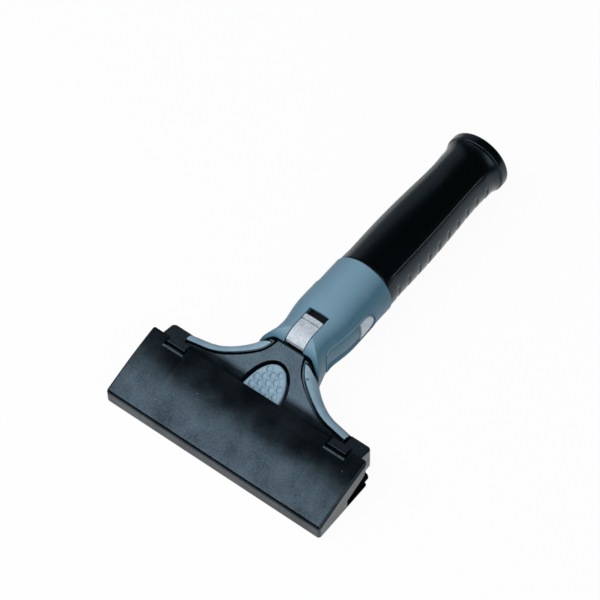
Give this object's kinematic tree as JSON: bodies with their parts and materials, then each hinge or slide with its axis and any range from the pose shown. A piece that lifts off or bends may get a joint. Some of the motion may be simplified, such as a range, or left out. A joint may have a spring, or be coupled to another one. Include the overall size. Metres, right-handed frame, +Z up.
{
  "type": "window scraper",
  "caption": "Glass scraper with a wide blade under a push-on safety cap, a tilting T-shaped head with a dimpled thumb button, and a hollow soft-grip handle that takes a pole.",
  "frame": {"origin": "bottom centre of the box around the tool, on the surface it lies on", "axes": "+Y along the handle from the blade to the butt, +Z up from the surface, +X across the blade"},
  "size_m": [0.112, 0.19, 0.03],
  "materials": {
    "collar": "satin moulded blue-grey plastic",
    "core": "plain moulded dark plastic",
    "grip": "soft satin black rubber with cross grooves",
    "steel": "plain zinc-bright steel",
    "blade_steel": "ground bright steel",
    "light_plastic": "light grey satin plastic",
    "black_plastic": "black moulded plastic, satin",
    "soft_insert": "soft blue-grey elastomer, matt"
  },
  "bodies": {
    "handle": {"collar": "collar", "handle_core": "core", "grip_sleeve": "grip", "hinge_pin": "steel", "slide_spring": "steel", "pole_spring_right": "steel", "pole_spring_left": "steel"},
    "head": {"head_base": "black_plastic", "head_cover": "black_plastic", "insert_right": "soft_insert", "insert_left": "soft_insert", "blade": "blade_steel", "blade_clamp": "steel", "button_spring": "steel", "cover_screw_1": "steel", "cover_screw_2": "steel", "cover_screw_3": "steel", "cover_screw_4": "steel"},
    "cap": {"blade_cap": "black_plastic"},
    "slide": {"angle_slide": "light_plastic"},
    "thumb": {"thumb_button": "soft_insert"},
    "pole_right": {"pole_button_right": "light_plastic"},
    "pole_left": {"pole_button_left": "light_plastic"}
  },
  "joints": [
    {"name": "head_tilt", "type": "hinge", "parent": "handle", "child": "head", "pos_m": [0, -0.0295, 0.015], "axis": [1, 0, 0], "range_deg": [0, 30]},
    {"name": "cap_pull", "type": "slide", "parent": "head", "child": "cap", "axis": [0, -1, 0], "range_m": [0, 0.045]},
    {"name": "angle_slide_pull", "type": "slide", "parent": "handle", "child": "slide", "axis": [0, 1, 0], "range_m": [0, 0.0032], "stiffness_N_per_m": 600, "springref_m": -0.001, "deforming": ["slide_spring"]},
    {"name": "thumb_press", "type": "slide", "parent": "head", "child": "thumb", "axis": [0, 0, -1], "range_m": [0, 0.0018], "stiffness_N_per_m": 900, "springref_m": -0.001, "deforming": ["button_spring"]},
    {"name": "pole_press_right", "type": "slide", "parent": "handle", "child": "pole_right", "axis": [-1, 0, 0], "range_m": [0, 0.0018], "stiffness_N_per_m": 900, "springref_m": -0.0005, "deforming": ["pole_spring_right"]},
    {"name": "pole_press_left", "type": "slide", "parent": "handle", "child": "pole_left", "axis": [1, 0, 0], "range_m": [0, 0.0018], "stiffness_N_per_m": 900, "springref_m": -0.0005, "deforming": ["pole_spring_left"]}
  ]
}
